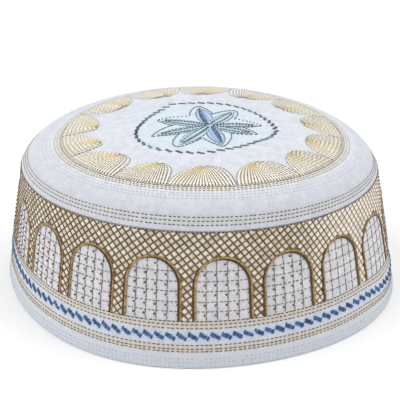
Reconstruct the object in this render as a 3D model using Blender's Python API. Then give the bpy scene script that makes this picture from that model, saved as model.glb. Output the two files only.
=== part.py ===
"""Embroidered kufi: an open, slightly flared side band sewn to a flat domed crown.

Metres, +Z up, the cap standing on its rim at z = 0 with the axis through the origin.
The front of the cap faces -Y.
"""

import bmesh
import bpy
import numpy as np

# Sizes of the cap in metres
RIM_RADIUS = 0.0950
SEAM_RADIUS = 0.0840
SEAM_HEIGHT = 0.0566
BAND_THICKNESS = 0.0028
CROWN_THICKNESS = 0.0022
EDGE_ROUND = 0.0007
SEAM_GAP = 0.0003

# The crown's edge is turned under and tucked inside the top of the band
TUCK_DEPTH = 0.0040
TUCK_THICKNESS = 0.0012

# A soft crown settles unevenly: it tips back, is drawn up front and back, and leans.
# Its shoulder stands fuller at the back left, at an angle counted from the front to +X.
CROWN_TIP = 0.0102
CROWN_SADDLE = 0.289
CROWN_SHIFT = 0.00112
LEAN = -0.0113
SETTLE_FROM = 0.0532
SETTLE_OVER = 0.0133
FULL_ANGLE = -114.0
FULL_SPREAD = 38.0
FULL_RISE = 0.0019
FULL_OUT = 0.0020
FULL_FROM = (0.068, 0.050)
FULL_OVER = (0.020, 0.012)

# Long shallow waves of the band's lower edge, which fade out at the seam
RIM_WAVE_COLUMNS = ("waves_round", "cosine_part", "sine_part")
RIM_WAVES = (
    (3, 0.00007, 0.00073),
    (4, -0.00025, -0.00166),
)
# Sets the middle of the wavy cap over the origin
CENTRING = (0.00073, -0.00009)

# Segments round the cap, and rows up the band and across the crown
AROUND = 88
BAND_ROWS = 6

# Outer profile of the crown from the seam to the middle
CROWN_PROFILE_COLUMNS = ("radius", "height")
CROWN_PROFILE = (
    (0.0840, 0.0566),
    (0.0828, 0.0589),
    (0.0813, 0.0612),
    (0.0796, 0.0635),
    (0.0770, 0.0656),
    (0.0736, 0.0670),
    (0.0695, 0.0679),
    (0.0620, 0.0693),
    (0.0495, 0.0707),
    (0.0330, 0.0715),
    (0.0160, 0.0718),
)
CROWN_CENTRE_HEIGHT = 0.0718


def smoothstep(value):
    """Runs from 0 to 1 with level ends: 3 t^2 - 2 t^3."""
    t = np.clip(value, 0.0, 1.0)
    return t * t * (3.0 - 2.0 * t)


def settle(points):
    """Moves points of the level cap to where the soft cap rests.

    The whole cap leans with its height, and above the seam the height gains
    tip * y + saddle * (y^2 - x^2) while the crown shifts sideways. The fuller
    shoulder is a bell curve round the cap, exp(-(turn / spread)^2), which moves
    points up and away from the axis. Below the seam the radius gains the sum of
    c cos(n a) + s sin(n a), largest at the rim.
    """
    x, y, z = points.T
    angle = np.arctan2(x, -y)
    radius = np.hypot(x, y)
    share = smoothstep((z - SETTLE_FROM) / SETTLE_OVER)
    rise = share * (CROWN_TIP * y + CROWN_SADDLE * (y * y - x * x))
    turn = (np.degrees(angle) - FULL_ANGLE + 180.0) % 360.0 - 180.0
    outer_part = smoothstep((radius - FULL_FROM[0]) / FULL_OVER[0])
    upper_part = smoothstep((z - FULL_FROM[1]) / FULL_OVER[1])
    full = np.exp(-((turn / FULL_SPREAD) ** 2)) * outer_part * upper_part
    wave = sum(c * np.cos(n * angle) + s * np.sin(n * angle) for n, c, s in RIM_WAVES)
    wave = wave * np.clip(1.0 - z / SEAM_HEIGHT, 0.0, 1.0)
    stretch = 1.0 + (FULL_OUT * full + wave) / np.maximum(radius, 0.001)
    settled_x = x * stretch + LEAN * z + share * CROWN_SHIFT + CENTRING[0]
    settled_y = y * stretch + CENTRING[1]
    return np.stack([settled_x, settled_y, z + rise + FULL_RISE * full], axis=1)


def band_radius(height):
    """Outer radius of the band: a straight cone from the rim to the seam."""
    return RIM_RADIUS + (SEAM_RADIUS - RIM_RADIUS) * height / SEAM_HEIGHT


def offset_inward(profile, thickness):
    """Profile moved along its normals, towards the axis and down, by the cloth's thickness."""
    step = np.gradient(profile, axis=0)
    step /= np.linalg.norm(step, axis=1)[:, None]
    normal = np.stack([-step[:, 1], step[:, 0]], axis=1)
    return profile + normal * thickness


def turned_solid(name, loop, poles=()):
    """Turns a closed loop of (radius, height) points round +Z.

    The loop runs up the outer side and down the inner side. The settled points
    are ring i at angle a = (r_i sin a, -r_i cos a, z_i). Where poles holds the
    two end heights, the loop is open at the axis and closes in two fans.
    """
    angle = np.linspace(0.0, 2.0 * np.pi, AROUND, endpoint=False)
    loop = np.asarray(loop)
    radius = loop[:, 0][:, None]
    height = loop[:, 1][:, None] + 0.0 * angle
    ring = np.stack([radius * np.sin(angle), -radius * np.cos(angle), height], axis=-1)
    points = settle(ring.reshape(-1, 3))
    rows = len(loop)
    corner = np.arange(rows * AROUND).reshape(rows, AROUND)
    following = np.roll(corner, -1, axis=1)
    faces = []
    last = rows if not poles else rows - 1
    for row in range(last):
        above = (row + 1) % rows
        for near, far, far_up, near_up in zip(corner[row], following[row], following[above], corner[above]):
            faces.append((near, far, far_up, near_up))
    if poles:
        centre = np.array([(0.0, 0.0, height_at_axis) for height_at_axis in poles])
        points = np.vstack([points, settle(centre)])
        first_pole = rows * AROUND
        last_pole = first_pole + 1
        for near, far in zip(corner[0], following[0]):
            faces.append((first_pole, far, near))
        for near, far in zip(corner[-1], following[-1]):
            faces.append((near, far, last_pole))
    mesh = bpy.data.meshes.new(name)
    mesh.from_pydata(points.tolist(), [], [tuple(int(i) for i in face) for face in faces])
    work = bmesh.new()
    work.from_mesh(mesh)
    bmesh.ops.recalc_face_normals(work, faces=work.faces)
    work.to_mesh(mesh)
    work.free()
    mesh.shade_smooth()
    mesh.set_sharp_from_angle(angle=0.9)
    solid = bpy.data.objects.new(name, mesh)
    bpy.context.collection.objects.link(solid)
    return solid


def cloth_material(name, colour):
    """Woven cotton: a rough surface with no metal in it."""
    material = bpy.data.materials.new(name)
    material.use_nodes = True
    shader = material.node_tree.nodes["Principled BSDF"]
    shader.inputs["Base Color"].default_value = (*colour, 1.0)
    shader.inputs["Roughness"].default_value = 0.85
    shader.inputs["Metallic"].default_value = 0.0
    material.diffuse_color = (*colour, 1.0)
    return material


for old in list(bpy.data.objects):
    bpy.data.objects.remove(old, do_unlink=True)

cap = bpy.data.objects.new("kufi", None)
bpy.context.collection.objects.link(cap)

# Side band: stiff quilted cloth, its lower edge hemmed and flat enough to stand on
band_top = SEAM_HEIGHT - SEAM_GAP
outer_heights = np.linspace(EDGE_ROUND, band_top, BAND_ROWS)
inner_heights = np.linspace(band_top, EDGE_ROUND, BAND_ROWS)
outer_wall = [(band_radius(z), z) for z in outer_heights]
inner_wall = [(band_radius(z) - BAND_THICKNESS, z) for z in inner_heights]
hem = [
    (band_radius(0.0) - BAND_THICKNESS + EDGE_ROUND, 0.0),
    (band_radius(0.0) - EDGE_ROUND, 0.0),
]
side_band = turned_solid("side_band", outer_wall + inner_wall + hem)
side_band.data.materials.append(cloth_material("band_cloth", (0.78, 0.79, 0.84)))

# Crown: one piece of cloth, domed, with its edge turned down to the band and tucked in
outer = np.array(CROWN_PROFILE)
inner = offset_inward(outer, CROWN_THICKNESS)
tuck_outer = band_radius(SEAM_HEIGHT) - BAND_THICKNESS - SEAM_GAP
tuck_slope = (SEAM_RADIUS - RIM_RADIUS) / SEAM_HEIGHT
tuck_foot = SEAM_HEIGHT - TUCK_DEPTH
crown_loop = [tuple(point) for point in outer[::-1]]
crown_loop.append((tuck_outer, SEAM_HEIGHT))
crown_loop.append((tuck_outer - tuck_slope * TUCK_DEPTH, tuck_foot))
crown_loop.append((tuck_outer - tuck_slope * TUCK_DEPTH - TUCK_THICKNESS, tuck_foot))
crown_loop.append((tuck_outer - TUCK_THICKNESS, SEAM_HEIGHT))
crown_loop += [tuple(point) for point in inner[1:]]
inner_centre = CROWN_CENTRE_HEIGHT - CROWN_THICKNESS
crown = turned_solid("crown", crown_loop, poles=(CROWN_CENTRE_HEIGHT, inner_centre))
crown.data.materials.append(cloth_material("crown_cloth", (0.80, 0.81, 0.86)))

for piece in (side_band, crown):
    piece.parent = cap
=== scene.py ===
# %% [markdown]
# # An embroidered kufi, dressed
#
# A kufi is a round brimless cap. This one has a stiff side band that flares a little
# towards its rim, and a flat domed crown sewn onto the band's top. Both are white
# quilted cotton, covered with machine embroidery in gold, tan and blue thread.
#
# The lesson takes the plain packed cap as a frame, lays finer cloth over it, and then
# sews every line of embroidery on as real thread, worked out with numpy.

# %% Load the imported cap
from collections import namedtuple
import bpy
import numpy as np
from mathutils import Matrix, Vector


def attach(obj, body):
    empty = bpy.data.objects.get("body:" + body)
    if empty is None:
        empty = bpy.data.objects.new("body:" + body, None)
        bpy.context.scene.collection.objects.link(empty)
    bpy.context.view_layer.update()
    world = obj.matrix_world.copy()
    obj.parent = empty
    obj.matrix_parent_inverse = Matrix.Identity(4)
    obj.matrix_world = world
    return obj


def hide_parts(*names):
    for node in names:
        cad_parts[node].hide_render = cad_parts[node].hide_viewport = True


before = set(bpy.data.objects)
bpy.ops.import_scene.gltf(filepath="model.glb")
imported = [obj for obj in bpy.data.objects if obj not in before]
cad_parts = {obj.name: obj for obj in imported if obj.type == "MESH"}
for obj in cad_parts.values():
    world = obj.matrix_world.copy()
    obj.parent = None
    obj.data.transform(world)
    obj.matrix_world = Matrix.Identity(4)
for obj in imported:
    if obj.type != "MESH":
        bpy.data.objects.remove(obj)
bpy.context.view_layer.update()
print("packed nodes:", sorted(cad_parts))

# %% [markdown]
# ## Sizes
#
# Embroidery is easiest to think about in millimetres, so every length below is in
# millimetres and only the last step, which fills the mesh, turns them into metres.
# The band is a cone and the crown is a turned profile. Both are first worked out level
# and round, and then settled, because a soft cap never stands quite level.

# %% Sizes of the cap in millimetres
MM = 0.001
RIM_RADIUS, SEAM_RADIUS, SEAM_HEIGHT = 95.0, 84.0, 56.6
BAND_THICKNESS, CROWN_THICKNESS = 2.8, 2.2
SEAM_GAP = 0.3
CROWN_CENTRE_HEIGHT = 71.8
CROWN_PROFILE = np.array([
    (84.0, 56.6), (82.8, 58.9), (81.3, 61.2), (79.6, 63.5), (77.0, 65.6), (73.6, 67.0),
    (69.5, 67.9), (62.0, 69.3), (49.5, 70.7), (33.0, 71.5), (16.0, 71.8), (0.0, 71.8),
])

# The crown tips back, is drawn up front and back, and shifts sideways, and the cap leans
CROWN_TIP, CROWN_SADDLE, CROWN_SHIFT, LEAN = 0.0102, 0.000289, 1.12, -0.0113
SETTLE_FROM, SETTLE_OVER = 53.2, 13.3
# The shoulder stands fuller at the back left, at an angle from the front towards +X
FULL_ANGLE, FULL_SPREAD, FULL_RISE, FULL_OUT = -114.0, 38.0, 1.9, 2.0
FULL_FROM, FULL_OVER = (68.0, 50.0), (20.0, 12.0)
# Waves round the rim: how many, then their cosine and sine parts
RIM_WAVES = ((3, 0.07, 0.73), (4, -0.25, -1.66))
# Sets the middle of the wavy cap over the origin
CENTRING = (0.73, -0.09)


def smoothstep(value):
    """Runs from 0 to 1 with level ends: 3 t^2 - 2 t^3."""
    t = np.clip(value, 0.0, 1.0)
    return t * t * (3.0 - 2.0 * t)


def bell(value, width):
    """A soft bump of height 1: exp(-(value / width)^2)."""
    return np.exp(-((value / width) ** 2))


def settle(points):
    """Moves level points (..., 3) to where the soft cap rests.

    The cap leans with its height. Above the seam the height gains
    tip * y + saddle * (y^2 - x^2) and the crown shifts sideways. A bell curve round
    the cap lifts the fuller shoulder, and waves c cos(n a) + s sin(n a) widen the rim.
    """
    x, y, z = points[..., 0], points[..., 1], points[..., 2]
    angle, radius = np.arctan2(x, -y), np.hypot(x, y)
    share = smoothstep((z - SETTLE_FROM) / SETTLE_OVER)
    rise = share * (CROWN_TIP * y + CROWN_SADDLE * (y * y - x * x))
    turn = (np.degrees(angle) - FULL_ANGLE + 180.0) % 360.0 - 180.0
    outer_part = smoothstep((radius - FULL_FROM[0]) / FULL_OVER[0])
    upper_part = smoothstep((z - FULL_FROM[1]) / FULL_OVER[1])
    full = bell(turn, FULL_SPREAD) * outer_part * upper_part
    wave = sum(c * np.cos(n * angle) + s * np.sin(n * angle) for n, c, s in RIM_WAVES)
    wave = wave * np.clip(1.0 - z / SEAM_HEIGHT, 0.0, 1.0)
    stretch = 1.0 + (FULL_OUT * full + wave) / np.maximum(radius, 1.0)
    settled_x = x * stretch + LEAN * z + share * CROWN_SHIFT + CENTRING[0]
    settled_y = y * stretch + CENTRING[1]
    return np.stack([settled_x, settled_y, z + rise + FULL_RISE * full], axis=-1)


# %% [markdown]
# ## Two charts of the cap
#
# Embroidery is drawn flat, so the cap gets two flat charts. The band's chart has the
# distance round the cap and the height. The crown's chart is its plan, seen from above.
# Each chart is one function from two flat numbers to a point in space, and the cloth,
# the cords and every stitch go through these functions, so that they all sit on the
# same surface.

# %% The band's chart and the crown's chart
BAND_CHART_RADIUS = 90.0
# How far the border's rows have wandered up, in mm, at degrees round from the front
ROW_DRIFT = ((-110.0, 2.0), (-72.0, 3.2), (-65.0, 1.8), (-58.0, 0.9), (-41.0, 0.5), (-20.0, 0.0),
             (30.0, 0.0), (50.0, 0.3), (54.0, -0.2), (61.0, -1.9), (70.0, -3.0), (110.0, -1.5))
PROFILE_STEP, PROFILE_BLUR = 0.25, 21


def lengths_along(points):
    """Distance travelled along paths of points (..., points, coordinates), from 0 on."""
    steps = np.linalg.norm(np.diff(points, axis=-2), axis=-1)
    return np.concatenate([0.0 * steps[..., :1], np.cumsum(steps, axis=-1)], axis=-1)


def smooth_profile(points, step, window):
    """The path resampled at even steps, each point then the mean of its neighbours."""
    length = lengths_along(points)
    even = np.linspace(0.0, length[-1], int(length[-1] / step))
    dense = np.stack([np.interp(even, length, column) for column in points.T], axis=1)
    reach = window // 2
    before = 2.0 * dense[0] - dense[reach:0:-1]
    after = 2.0 * dense[-1] - dense[-2:-reach - 2:-1]
    padded = np.concatenate([before, dense, after])
    kernel = np.ones(window) / window
    return np.stack([np.convolve(column, kernel, "valid") for column in padded.T], axis=1)


CROWN_CURVE = smooth_profile(CROWN_PROFILE, PROFILE_STEP, PROFILE_BLUR)


def crown_height(radius):
    """Height of the level crown over a distance from the axis."""
    return np.interp(radius, CROWN_CURVE[::-1, 0], CROWN_CURVE[::-1, 1])


def band_radius(height):
    """Outer radius of the band: a straight cone from the rim to the seam."""
    return RIM_RADIUS + (SEAM_RADIUS - RIM_RADIUS) * height / SEAM_HEIGHT


# %% Points and normals on the charts
def turned(angle, radius, height):
    """Settled point of the level ring point (r sin a, -r cos a, z)."""
    level = np.stack([radius * np.sin(angle), -radius * np.cos(angle), height + 0.0 * angle], -1)
    return settle(level)


def row_drift(u, v):
    """How far the embroidery at a height has wandered up or down, in mm: the drift read
    at the angle, in full between 12 and 16 mm and fading to nothing at 0 and 26 mm."""
    share = np.clip(v / 12.0, 0.0, 1.0) * np.clip((26.0 - v) / 10.0, 0.0, 1.0)
    known, drift = np.array(ROW_DRIFT).T
    return share * np.interp(np.degrees(u / BAND_CHART_RADIUS), known, drift, period=360.0)


def band(u, v, stand_off=0.0):
    """Band chart: u mm round the cap from the front towards +X, v mm up from the rim,
    and how far the point stands off the plain cone."""
    height = v + row_drift(u, v)
    return turned(u / BAND_CHART_RADIUS, band_radius(height) + stand_off, height)


def crown(u, v):
    """Crown chart: the plan, u mm to +X and v mm to +Y, the height from the profile."""
    radius = np.hypot(u, v)
    return settle(np.stack([u, v, crown_height(radius)], axis=-1))


def ring_plan(angle, radius):
    """Plan point of the crown at an angle from the front and a distance from the axis."""
    return radius * np.sin(angle), -radius * np.cos(angle)


def unit(vectors):
    """Vectors divided by their own lengths."""
    return vectors / np.maximum(np.linalg.norm(vectors, axis=-1, keepdims=True), 1e-9)


def chart_frame(chart, u, v, step=0.2):
    """Point and outward normal of a chart: the normal is the cross product of the
    differences of the surface over one small step in u and in v."""
    across = chart(u + step, v) - chart(u - step, v)
    up = chart(u, v + step) - chart(u, v - step)
    return chart(u, v), unit(np.cross(across, up))


print("crown curve points:", len(CROWN_CURVE))

# %% [markdown]
# ## From arrays to meshes
#
# A piece of embroidery is thousands of short stitches. Making one Blender object for
# each would be slow and heavy, so all stitches of a kind are worked out as one array
# and filled into one mesh. A strand is a short closed tube: a few rings along the
# thread and a point at each end, where the thread goes back into the cloth.


# %% Mesh helpers
SIDES = 5


def make_mesh(name, points, faces, values=None, uv=None):
    """Fills a mesh from points in mm and a list of face arrays, one per corner count.

    values holds one number per point for each named attribute, and uv one pair per
    face corner, in the order of the face arrays.
    """
    mesh = bpy.data.meshes.new(name)
    counts = np.concatenate([np.full(len(f), f.shape[1]) for f in faces])
    corners = np.concatenate([f.ravel() for f in faces]).astype(np.int32)
    starts = np.concatenate([[0], np.cumsum(counts)[:-1]]).astype(np.int32)
    mesh.vertices.add(len(points))
    mesh.vertices.foreach_set("co", (points * MM).astype(np.float32).ravel())
    mesh.loops.add(len(corners))
    mesh.loops.foreach_set("vertex_index", corners)
    mesh.polygons.add(len(counts))
    mesh.polygons.foreach_set("loop_start", starts)
    mesh.update(calc_edges=True)
    for key, numbers in (values or {}).items():
        layer = mesh.attributes.new(key, "FLOAT", "POINT")
        layer.data.foreach_set("value", np.asarray(numbers, np.float32).ravel())
    if uv is not None:
        layer = mesh.uv_layers.new(name="thread")
        layer.data.foreach_set("uv", np.asarray(uv, np.float32).ravel())
    mesh.shade_smooth()
    return mesh


def placed(name, data):
    """A new object with the data, linked into the scene."""
    made = bpy.data.objects.new(name, data)
    bpy.context.collection.objects.link(made)
    return made


def add_piece(name, mesh, material):
    """Places the mesh as a piece that rides on the cap, in the given material."""
    piece = placed(name, mesh)
    mesh.materials.append(material)
    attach(piece, "root")
    mesh.calc_loop_triangles()
    print(f"{name}: {len(mesh.loop_triangles)} triangles")
    return piece


# %% Closed tubes
def per_point(values):
    """Values (tubes, rings) repeated for every point: once at each tip, SIDES times between."""
    middle = np.repeat(values[:, 1:-1], SIDES, axis=1)
    return np.concatenate([values[:, :1], middle, values[:, -1:]], axis=1)


def tubes(centre, direction, out, half_width, half_height, tone):
    """Closed tubes, all in one set of arrays.

    centre, direction and out have shape (tubes, rings, 3). A ring's point at angle p is
    centre + cos p * half_width * side + sin p * half_height * out, with
    side = direction x out. The first and last centres are the pointed tips.
    """
    count, rings = centre.shape[:2]
    middle = rings - 2
    each = middle * SIDES + 2
    side = unit(np.cross(direction, out))
    turn = (np.arange(SIDES) * 2.0 * np.pi / SIDES)[:, None]
    wide = np.broadcast_to(half_width, (count, rings))[..., None, None]
    high = np.broadcast_to(half_height, (count, rings))[..., None, None]
    ring = (centre[:, :, None] + np.cos(turn) * side[:, :, None] * wide
            + np.sin(turn) * out[:, :, None] * high)[:, 1:-1]
    points = np.concatenate(
        [centre[:, :1], ring.reshape(count, middle * SIDES, 3), centre[:, -1:]], axis=1)
    grid = 1 + np.arange(middle * SIDES).reshape(middle, SIDES)
    after = np.roll(grid, -1, axis=1)
    quads = np.stack([grid[:-1], grid[1:], after[1:], after[:-1]], -1).reshape(-1, 4)
    start_cap = np.stack([np.zeros(SIDES, int), grid[0], after[0]], -1)
    end_cap = np.stack([np.full(SIDES, each - 1), after[-1], grid[-1]], -1)
    caps = np.concatenate([start_cap, end_cap])
    first = (np.arange(count) * each)[:, None, None]
    per_ring = tone if np.ndim(tone) == 2 else np.reshape(tone, (-1, 1))
    around = np.concatenate([[0.5], np.tile(np.arange(SIDES) / SIDES, middle), [0.5]])
    near_u = around[quads[:, :2]]
    quad_u = np.concatenate([near_u, near_u[:, ::-1] + 1.0 / SIDES], axis=1)
    point_along = per_point(lengths_along(centre))
    quad_uv, cap_uv = (
        np.stack([np.broadcast_to(face_u, (count, *face_u.shape)), point_along[:, faces]], -1)
        for face_u, faces in ((quad_u, quads), (around[caps], caps)))
    return {
        "points": points.reshape(-1, 3),
        "quads": (quads + first).reshape(-1, 4),
        "triangles": (caps + first).reshape(-1, 3),
        "tone": per_point(np.broadcast_to(per_ring, (count, rings))).ravel(),
        "quad_uv": quad_uv.reshape(-1, 2),
        "cap_uv": cap_uv.reshape(-1, 2),
    }


def joined(name, sets):
    """One mesh from several sets of tubes, with the points of each set counted on."""
    offsets = np.cumsum([0] + [len(s["points"]) for s in sets[:-1]])
    faces = [np.concatenate([s[key] + offset for s, offset in zip(sets, offsets)])
             for key in ("quads", "triangles")]
    points, tone, *uv = (
        np.concatenate([s[key] for s in sets]) for key in ("points", "tone", "quad_uv", "cap_uv"))
    return make_mesh(name, points, faces, {"tone": tone}, np.concatenate(uv))


# %% Stitches on a chart
chance = np.random.default_rng(12)
STITCH_SHARES = np.array([0.0, 0.12, 0.5, 0.88, 1.0])
STITCH_TAPER = np.array([0.0, 0.85, 1.0, 0.85, 0.0])


def stitches(chart, start_u, start_v, end_u, end_v, width, rise=0.25, sink=0.12, tone=None):
    """Short threads between pairs of chart points.

    At share t of its length a stitch stands rise * (1 - (2 t - 1)^4) - sink above the
    cloth, and its half width is width / 2, narrowed a little near its ends.
    """
    ends = np.broadcast_arrays(*(np.ravel(a).astype(float) for a in (start_u, start_v, end_u, end_v)))
    start_u, start_v, end_u, end_v = (a[:, None] for a in ends)
    u = start_u + (end_u - start_u) * STITCH_SHARES
    v = start_v + (end_v - start_v) * STITCH_SHARES
    point, out = chart_frame(chart, u, v)
    lift = rise * (1.0 - (2.0 * STITCH_SHARES - 1.0) ** 4) - sink
    centre = point + out * lift[:, None]
    direction = np.broadcast_to(unit(centre[:, -1:] - centre[:, :1]), centre.shape)
    half = 0.5 * np.reshape(width, (-1, 1)) * STITCH_TAPER
    if tone is None:
        tone = chance.uniform(0.0, 1.0, len(start_u))
    return tubes(centre, direction, out, half, 0.75 * half, tone)


def dash_ends(chart, u, v, pitch, share, jitter=0.06):
    """Ends of the dashes along a chart path: one about every pitch mm, covering a share of it,
    each moved along a little by chance."""
    length = lengths_along(chart(u, v))
    count = max(int(round(length[-1] / pitch)), 1)
    even = length[-1] / count
    first = (np.arange(count) + 0.5 * (1.0 - share) + chance.normal(0.0, jitter, count)) * even
    last = first + share * even
    return (np.interp(first, length, u), np.interp(first, length, v),
            np.interp(last, length, u), np.interp(last, length, v))


def running_stitches(chart, u, v, pitch, share, width, rise=0.22, sink=0.06, tone=None):
    """Dashes along a chart path, made as stitches."""
    return stitches(chart, *dash_ends(chart, u, v, pitch, share), width, rise, sink, tone)


# %% [markdown]
# ## Materials
#
# Everything on a kufi is fabric: the base is bleached cotton, woven plain and washed
# soft, and the embroidery is rayon, a bright silky thread. Cotton scatters the light
# and has a fine weave. Rayon has a soft shine along each thread, and no two stitches
# catch the light alike, so each stitch carries its own tone.


# %% Material helpers
def linear(code):
    """sRGB hex colour to linear: c / 12.92 below 0.04045, else ((c + 0.055) / 1.055)^2.4."""
    parts = np.array([int(code[k:k + 2], 16) for k in (1, 3, 5)]) / 255.0
    low, high = parts / 12.92, ((parts + 0.055) / 1.055) ** 2.4
    return (*np.where(parts <= 0.04045, low, high).tolist(), 1.0)


def node(tree, kind, settings=None, links=None):
    """Adds a node, sets its properties or input values, and links sockets into it."""
    made = tree.nodes.new(kind)
    for key, value in (settings or {}).items():
        if isinstance(key, str) and hasattr(made, key):
            setattr(made, key, value)
        else:
            made.inputs[key].default_value = value
    for key, source in (links or {}).items():
        tree.links.new(source, made.inputs[key])
    return made


def new_material(name, settings):
    """A material with a Principled shader set to typical values of the real stuff."""
    material = bpy.data.materials.new(name)
    material.use_nodes = True
    tree = material.node_tree
    shader = tree.nodes["Principled BSDF"]
    for key, value in settings.items():
        shader.inputs[key].default_value = value
    return material, tree, shader


def mixed(tree, share, low, high):
    """Colour between low, a hex colour or a socket, and high, a hex colour, by a share."""
    settings, links = {"data_type": "RGBA", 7: linear(high)}, {0: share}
    if isinstance(low, str):
        settings[6] = linear(low)
    else:
        links[6] = low
    return node(tree, "ShaderNodeMix", settings, links).outputs[2]


def attribute(tree, key):
    """Socket with the value that the mesh stores under a name."""
    return node(tree, "ShaderNodeAttribute", {"attribute_name": key}).outputs["Fac"]


# %% [markdown]
# ### Plain woven cotton
#
# Cotton cloth for a cap has about 3 threads to the millimetre, too fine to show at this
# size, so the weave is drawn at one thread each 0.8 mm. Two sets of bands, one across
# the other, give the over and under of plain weave. Cloth is never one white: a fine
# cloudiness in the colour stands for uneven yarn and washing, and a bump of small soft
# lumps for the puckers that quilting leaves. Where threads lie close, their colour also
# tints the ground between them, because light passes through and between the fibres.
# Two of the grounds are painted shade: the band's cloth darker towards its rim, and the crown's towards its
# turned-down edge.


# %% Cotton
WEAVE_PITCH = 0.8
# A wave texture of scale 1 repeats every pi / 10 units
WAVE_REPEAT = 0.31416
WEAVE_SCALE = WAVE_REPEAT / WEAVE_PITCH
# Parts of the noise to the metre
CLOUD_SCALE, PUCKER_SCALE = 220.0, 420.0


def cotton(name, plain, shade, grounds):
    """Bleached plain woven cotton between two whites. grounds names attributes, each with a
    colour mixed in by its share: the tint of thread that covers the cloth, and painted shade on the hem and
    the crown's edge."""
    material, tree, shader = new_material(
        name, {"Roughness": 0.86, "IOR": 1.47, "Sheen Weight": 0.25, "Sheen Roughness": 0.5,
               "Specular IOR Level": 0.3})
    uv = node(tree, "ShaderNodeUVMap", {"uv_map": "thread"}).outputs[0]
    place = node(tree, "ShaderNodeTexCoord").outputs["Object"]
    warp, weft = (
        node(tree, "ShaderNodeTexWave", {"bands_direction": way, "Scale": WEAVE_SCALE}, {"Vector": uv})
        for way in ("X", "Y"))
    weave = node(tree, "ShaderNodeMath", {"operation": "ADD"},
                 {0: warp.outputs["Fac"], 1: weft.outputs["Fac"]})
    cloud = node(tree, "ShaderNodeTexNoise", {"Scale": CLOUD_SCALE, "Detail": 6.0, "Roughness": 0.85},
                 {"Vector": place})
    cloud_range = node(tree, "ShaderNodeMapRange", {"From Min": 0.38, "From Max": 0.62},
                       {"Value": cloud.outputs["Fac"]})
    colour = mixed(tree, cloud_range.outputs[0], shade, plain)
    for key, tint in grounds.items():
        colour = mixed(tree, attribute(tree, key), colour, tint)
    tree.links.new(colour, shader.inputs["Base Color"])
    pucker = node(tree, "ShaderNodeTexNoise", {"Scale": PUCKER_SCALE, "Detail": 3.0}, {"Vector": place})
    puckered = node(tree, "ShaderNodeBump", {"Strength": 0.8, "Distance": 0.0005},
                    {"Height": pucker.outputs["Fac"]})
    bump = node(tree, "ShaderNodeBump", {"Strength": 0.4, "Distance": 0.0001},
                {"Height": weave.outputs[0], "Normal": puckered.outputs[0]})
    tree.links.new(bump.outputs[0], shader.inputs["Normal"])
    return material


# The hem's colour and the crown edge's grey are painted shade; the other grounds tint the cloth where
# thread covers it.
BAND_GROUNDS = {"gold_ground": "#a3906c", "ivory_ground": "#d5cfc3", "blue_ground": "#c3d5ef",
                "hem_painted_shade": "#d3d8e0"}
CROWN_GROUNDS = {"gold_ground": "#e0d0a4", "blue_ground": "#cae0ea", "edge_painted_shade": "#c6c9d2"}
band_cotton = cotton("bleached_cotton_band", "#e6e4e7", "#ccccd3", BAND_GROUNDS)
crown_cotton = cotton("bleached_cotton_crown", "#dde0e6", "#c6cad4", CROWN_GROUNDS)
print("cotton cloths:", band_cotton.name, crown_cotton.name)

# %% [markdown]
# ### Rayon thread
#
# Machine embroidery thread is two plies of rayon twisted together, about 0.4 mm thick.
# The plies show as slanting ridges, so the bump follows the length along the stitch plus
# the turn round it. The tone attribute picks a colour between a thread in shade and one
# that faces the light.


# %% Rayon
PLY_PITCH = 0.9


def rayon(name, dark, light, roughness=0.45):
    """Twisted rayon thread, its colour running from dark to light with each stitch's tone."""
    material, tree, shader = new_material(
        name, {"Roughness": roughness, "IOR": 1.5, "Sheen Weight": 0.2, "Sheen Roughness": 0.4})
    tree.links.new(mixed(tree, attribute(tree, "tone"), dark, light), shader.inputs["Base Color"])
    uv = node(tree, "ShaderNodeUVMap", {"uv_map": "thread"})
    parts = node(tree, "ShaderNodeSeparateXYZ", None, {0: uv.outputs[0]})
    twist = node(tree, "ShaderNodeMath", {"operation": "MULTIPLY_ADD", 1: 1.0 / PLY_PITCH},
                 {0: parts.outputs["Y"], 2: parts.outputs["X"]})
    ridge = node(tree, "ShaderNodeMath", {"operation": "PINGPONG", 1: 0.5}, {0: twist.outputs[0]})
    bump = node(tree, "ShaderNodeBump", {"Strength": 0.5, "Distance": 0.0001},
                {"Height": ridge.outputs[0]})
    tree.links.new(bump.outputs[0], shader.inputs["Normal"])
    return material


RAYONS = {
    "brown_rayon": ("#352208", "#69481c"),  # falling lines, the line beside each arch, dark rows
    "gold_rayon": ("#5f4414", "#c2a164", 0.42),  # the arches' satin
    "olive_rayon": ("#4f4322", "#8a7746"),  # rising lines, uprights, rows below the fans
    "fan_rayon": ("#554b2b", "#b9aa80"),  # dashes between the fans' threads
    "ivory_rayon": ("#cfc0aa", "#faf0e0", 0.5),  # the lattice's cells
    "amber_rayon": ("#e3c684", "#fdfaef", 0.5),  # the fans' raised threads, amber to ivory
    "tan_rayon": ("#453d33", "#7a6d5a"),  # rows on the band and the crown, knots
    "grey_rayon": ("#45473f", "#75745f"),  # rows across the windows
    "navy_rayon": ("#1f3b64", "#4a71a4"),  # the blue border
    # The white thread is painted grey: painted shade of the hollows where the needle went through
    "shaded_white_rayon": ("#b4bac4", "#d9dde4"),  # pale rows in the hem and on the crown
    "slate_rayon": ("#23374a", "#8fb0c8"),  # the ring and the petals' outlines
    "teal_rayon": ("#4d7f96", "#d3e8f1"),  # inside six petals
    "blue_rayon": ("#2d5490", "#bad6f2"),  # inside the other two
}
THREADS = {name: rayon(name, *finish) for name, finish in RAYONS.items()}


def sew(name, thread, sets):
    """Joins sets of tubes into one piece of embroidery in one of the rayon threads."""
    return add_piece(name, joined(name, sets), THREADS[thread])


print("rayon threads:", len(THREADS))

# %% [markdown]
# ## Where the arches stand
#
# Twenty arched windows run round the band. The machine did not space them quite evenly,
# so each pillar has its own small shift, and the arches grow a little lower from the
# left of the front to its right. Each arch is two legs and a half ellipse, drawn on the
# band's chart.

# %% The arches' places
ARCH_COUNT, ARCH_FIRST, ARCH_PITCH = 20, -3.1, 18.0
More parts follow.
